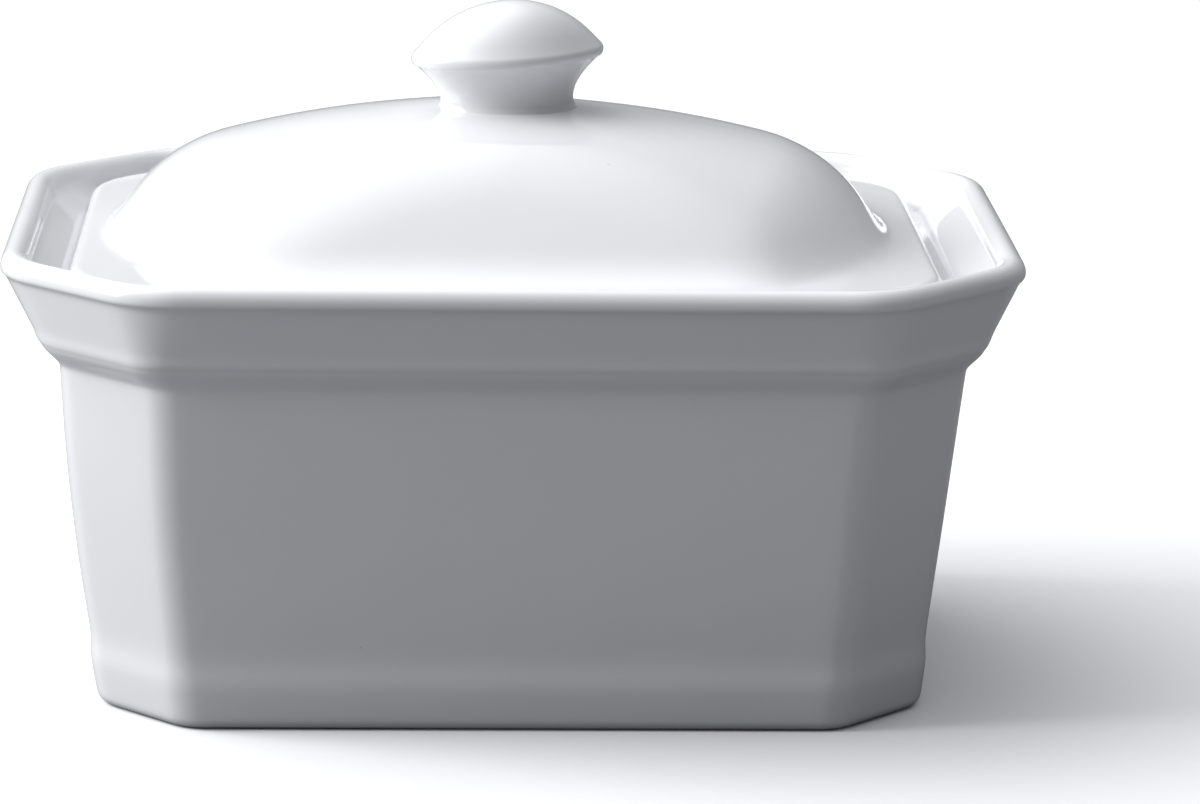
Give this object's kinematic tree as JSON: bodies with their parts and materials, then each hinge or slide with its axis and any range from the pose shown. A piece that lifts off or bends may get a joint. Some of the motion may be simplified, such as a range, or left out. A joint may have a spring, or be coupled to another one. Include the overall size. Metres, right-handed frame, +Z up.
{
  "type": "butter dish",
  "caption": "Deep rectangular porcelain butter dish with cut corners, a flared rim, a domed lift-off lid and an oval knob.",
  "frame": {"origin": "middle of the foot ring, on the surface that the dish stands on", "axes": "+Z up, +X along the length of the dish, the front faces -Y"},
  "size_m": [0.1448, 0.1058, 0.097],
  "materials": {
    "dish_glaze": "clear glossy glaze over white porcelain",
    "lid_glaze": "clear glossy glaze over white porcelain"
  },
  "bodies": {
    "dish": {"dish": "dish_glaze"},
    "lid": {"lid": "lid_glaze", "knob": "lid_glaze"}
  },
  "joints": [
    {"name": "lid_lift", "type": "slide", "parent": "dish", "child": "lid", "axis": [0, 0, 1], "range_m": [0, 0.06]}
  ]
}
